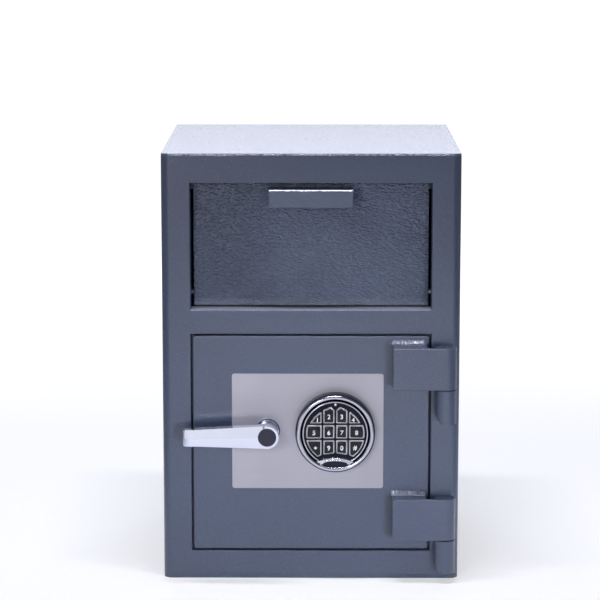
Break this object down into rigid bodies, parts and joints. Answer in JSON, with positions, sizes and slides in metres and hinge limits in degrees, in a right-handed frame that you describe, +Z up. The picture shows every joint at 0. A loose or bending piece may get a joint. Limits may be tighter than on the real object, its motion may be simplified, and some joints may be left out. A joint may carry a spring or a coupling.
{
  "type": "drop safe with tilting deposit drawer",
  "caption": "Front loading drop safe: a tilting deposit drawer drops envelopes behind a locked, hinged door with a lever and a keypad.",
  "frame": {"origin": "centre of the casing footprint, on the plane of the base", "axes": "+X to the right seen from the front, +Y from the front to the back, +Z up"},
  "size_m": [0.35, 0.3906, 0.508],
  "materials": {
    "body_paint": "fine textured blue grey paint",
    "drawer_paint": "wrinkled blue grey paint",
    "stainless": "brushed",
    "chrome": "polished",
    "zinc_plate": "zinc plated",
    "bare_steel": "turned steel",
    "black_plastic": "satin",
    "badge_plastic": "gloss",
    "key_rubber": "moulded, light rim",
    "buffer_rubber": "matt",
    "circuit_board": "solder mask",
    "light": "clear"
  },
  "bodies": {
    "casing": {"casing_wrap": "body_paint", "top_plate": "body_paint", "back_plate": "body_paint", "floor_plate": "body_paint", "housing_side_left": "body_paint", "housing_side_right": "body_paint", "drawer_sill": "body_paint", "hopper_hood": "body_paint", "drawer_buffer": "buffer_rubber", "antifish_baffle": "zinc_plate", "door_jamb": "body_paint", "upper_hinge_knuckle": "body_paint", "lower_hinge_knuckle": "body_paint", "upper_hinge_pin": "bare_steel", "lower_hinge_pin": "bare_steel"},
    "drawer": {"drawer_front": "drawer_paint", "drawer_pull": "body_paint", "drawer_tray": "body_paint", "drawer_cheek_left": "body_paint", "drawer_cheek_right": "body_paint", "pivot_pin_left": "zinc_plate", "pivot_pin_right": "zinc_plate"},
    "door": {"door_plate": "body_paint", "upper_hinge_strap": "body_paint", "lower_hinge_strap": "body_paint", "dead_bar": "bare_steel", "lock_escutcheon": "stainless", "bolt_bracket": "zinc_plate", "lock_case": "zinc_plate", "battery": "black_plastic", "door_pan": "body_paint", "keypad_base": "black_plastic", "keypad_bezel": "chrome", "keypad_face": "black_plastic", "keypad_badge": "badge_plastic", "status_light": "light", "circuit_board": "circuit_board", "keypad_cable": "black_plastic", "handle_collar": "chrome"},
    "handle": {"lever_handle": "chrome", "handle_cap": "black_plastic", "handle_spindle": "bare_steel", "drive_cam": "zinc_plate"},
    "boltwork": {"bolt_carrier": "zinc_plate", "locking_bolt_upper": "bare_steel", "locking_bolt_middle": "bare_steel", "locking_bolt_lower": "bare_steel"},
    "latch": {"lock_bolt": "bare_steel"},
    "key_1": {"key_1": "key_rubber"},
    "key_2": {"key_2": "key_rubber"},
    "key_3": {"key_3": "key_rubber"},
    "key_4": {"key_4": "key_rubber"},
    "key_5": {"key_5": "key_rubber"},
    "key_6": {"key_6": "key_rubber"},
    "key_7": {"key_7": "key_rubber"},
    "key_8": {"key_8": "key_rubber"},
    "key_9": {"key_9": "key_rubber"},
    "key_0": {"key_0": "key_rubber"},
    "key_star": {"key_star": "key_rubber"},
    "key_hash": {"key_hash": "key_rubber"}
  },
  "joints": [
    {"name": "door_swing", "type": "hinge", "parent": "casing", "child": "door", "pos_m": [0.158, -0.188, 0.16465], "axis": [0, 0, 1], "range_deg": [0, 175]},
    {"name": "drawer_tilt", "type": "hinge", "parent": "casing", "child": "drawer", "pos_m": [0, -0.142, 0.341], "axis": [1, 0, 0], "range_deg": [0, 50]},
    {"name": "handle_turn", "type": "hinge", "parent": "door", "child": "handle", "pos_m": [-0.051, -0.19, 0.18], "axis": [0, -1, 0], "range_deg": [0, 60]},
    {"name": "boltwork_slide", "type": "slide", "parent": "door", "child": "boltwork", "axis": [-1, 0, 0], "range_m": [0, 0.014]},
    {"name": "lock_bolt_slide", "type": "slide", "parent": "door", "child": "latch", "axis": [-1, 0, 0], "range_m": [0, 0.013]},
    {"name": "key_1_press", "type": "slide", "parent": "door", "child": "key_1", "axis": [0, 1, 0], "range_m": [0, 0.0012], "stiffness_N_per_m": 400},
    {"name": "key_2_press", "type": "slide", "parent": "door", "child": "key_2", "axis": [0, 1, 0], "range_m": [0, 0.0012], "stiffness_N_per_m": 400},
    {"name": "key_3_press", "type": "slide", "parent": "door", "child": "key_3", "axis": [0, 1, 0], "range_m": [0, 0.0012], "stiffness_N_per_m": 400},
    {"name": "key_4_press", "type": "slide", "parent": "door", "child": "key_4", "axis": [0, 1, 0], "range_m": [0, 0.0012], "stiffness_N_per_m": 400},
    {"name": "key_5_press", "type": "slide", "parent": "door", "child": "key_5", "axis": [0, 1, 0], "range_m": [0, 0.0012], "stiffness_N_per_m": 400},
    {"name": "key_6_press", "type": "slide", "parent": "door", "child": "key_6", "axis": [0, 1, 0], "range_m": [0, 0.0012], "stiffness_N_per_m": 400},
    {"name": "key_7_press", "type": "slide", "parent": "door", "child": "key_7", "axis": [0, 1, 0], "range_m": [0, 0.0012], "stiffness_N_per_m": 400},
    {"name": "key_8_press", "type": "slide", "parent": "door", "child": "key_8", "axis": [0, 1, 0], "range_m": [0, 0.0012], "stiffness_N_per_m": 400},
    {"name": "key_9_press", "type": "slide", "parent": "door", "child": "key_9", "axis": [0, 1, 0], "range_m": [0, 0.0012], "stiffness_N_per_m": 400},
    {"name": "key_0_press", "type": "slide", "parent": "door", "child": "key_0", "axis": [0, 1, 0], "range_m": [0, 0.0012], "stiffness_N_per_m": 400},
    {"name": "key_star_press", "type": "slide", "parent": "door", "child": "key_star", "axis": [0, 1, 0], "range_m": [0, 0.0012], "stiffness_N_per_m": 400},
    {"name": "key_hash_press", "type": "slide", "parent": "door", "child": "key_hash", "axis": [0, 1, 0], "range_m": [0, 0.0012], "stiffness_N_per_m": 400}
  ],
  "couplings": [
    {"joint": "boltwork_slide", "follows": "handle_turn", "m_per_rad": 0.01336},
    {"joint": "lock_bolt_slide", "follows": "handle_turn", "m_per_rad": 0.0124}
  ]
}
